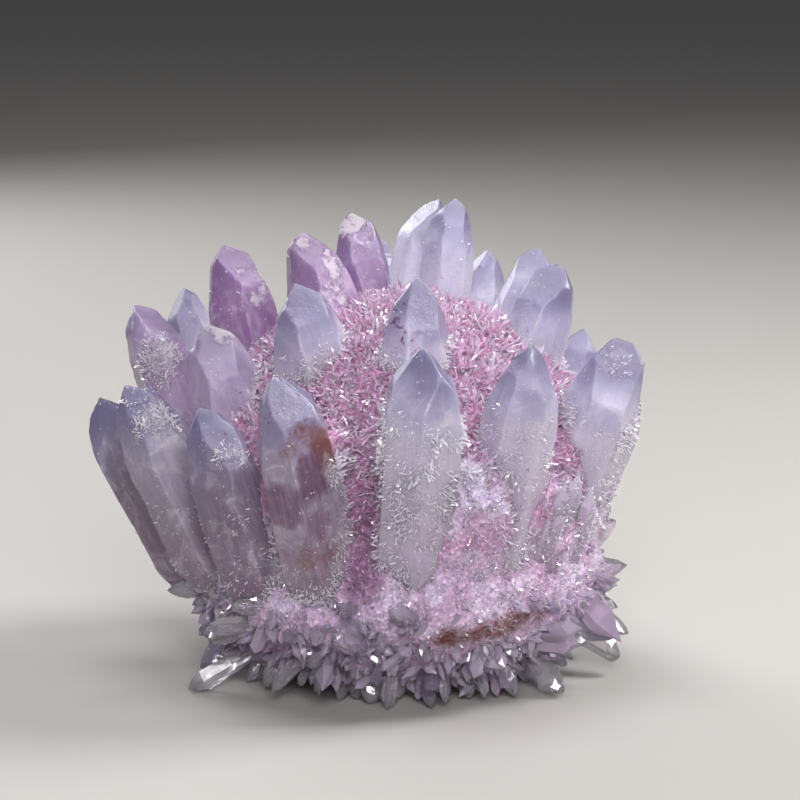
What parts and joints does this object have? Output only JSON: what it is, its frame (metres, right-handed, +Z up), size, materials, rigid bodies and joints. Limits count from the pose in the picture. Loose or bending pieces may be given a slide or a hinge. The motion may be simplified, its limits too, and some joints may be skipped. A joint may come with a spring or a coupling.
{
  "type": "amethyst cluster",
  "caption": "Cluster of pale amethyst points spreading like petals round a dome of rosy druse, with a skirt of small crystals and a flat underside.",
  "frame": {"origin": "centre of the flat break under the cluster, on the surface it stands on", "axes": "+Z up through the crown, -Y towards the side that the picture shows, +X to that side's right"},
  "size_m": [0.0778, 0.0739, 0.0657],
  "materials": {
    "pale_lilac": "clear to milky quartz",
    "smoky_lilac": "clear to milky quartz",
    "rose_lilac": "clear to milky quartz",
    "rosy_druse": "sparkling fine crystals"
  },
  "bodies": {
    "root": {"outer_front_left": "smoky_lilac", "outer_front": "pale_lilac", "outer_front_right": "pale_lilac", "outer_right": "pale_lilac", "outer_right_back": "pale_lilac", "outer_back_right": "pale_lilac", "outer_back_right_2": "pale_lilac", "outer_back": "smoky_lilac", "outer_back_left_2": "smoky_lilac", "outer_back_left": "smoky_lilac", "outer_left_back": "smoky_lilac", "outer_left_3": "smoky_lilac", "outer_left_2": "smoky_lilac", "outer_left": "smoky_lilac", "middle_front": "pale_lilac", "middle_front_left": "pale_lilac", "middle_left": "rose_lilac", "middle_left_back": "rose_lilac", "middle_back_left": "rose_lilac", "middle_back": "pale_lilac", "middle_back_right": "pale_lilac", "middle_right_back": "pale_lilac", "middle_right": "pale_lilac", "crown_left": "rose_lilac", "crown_middle_left": "rose_lilac", "crown_middle": "rose_lilac", "crown_right_back": "pale_lilac", "crown_right": "pale_lilac", "druse_crust": "rosy_druse"}
  },
  "joints": []
}
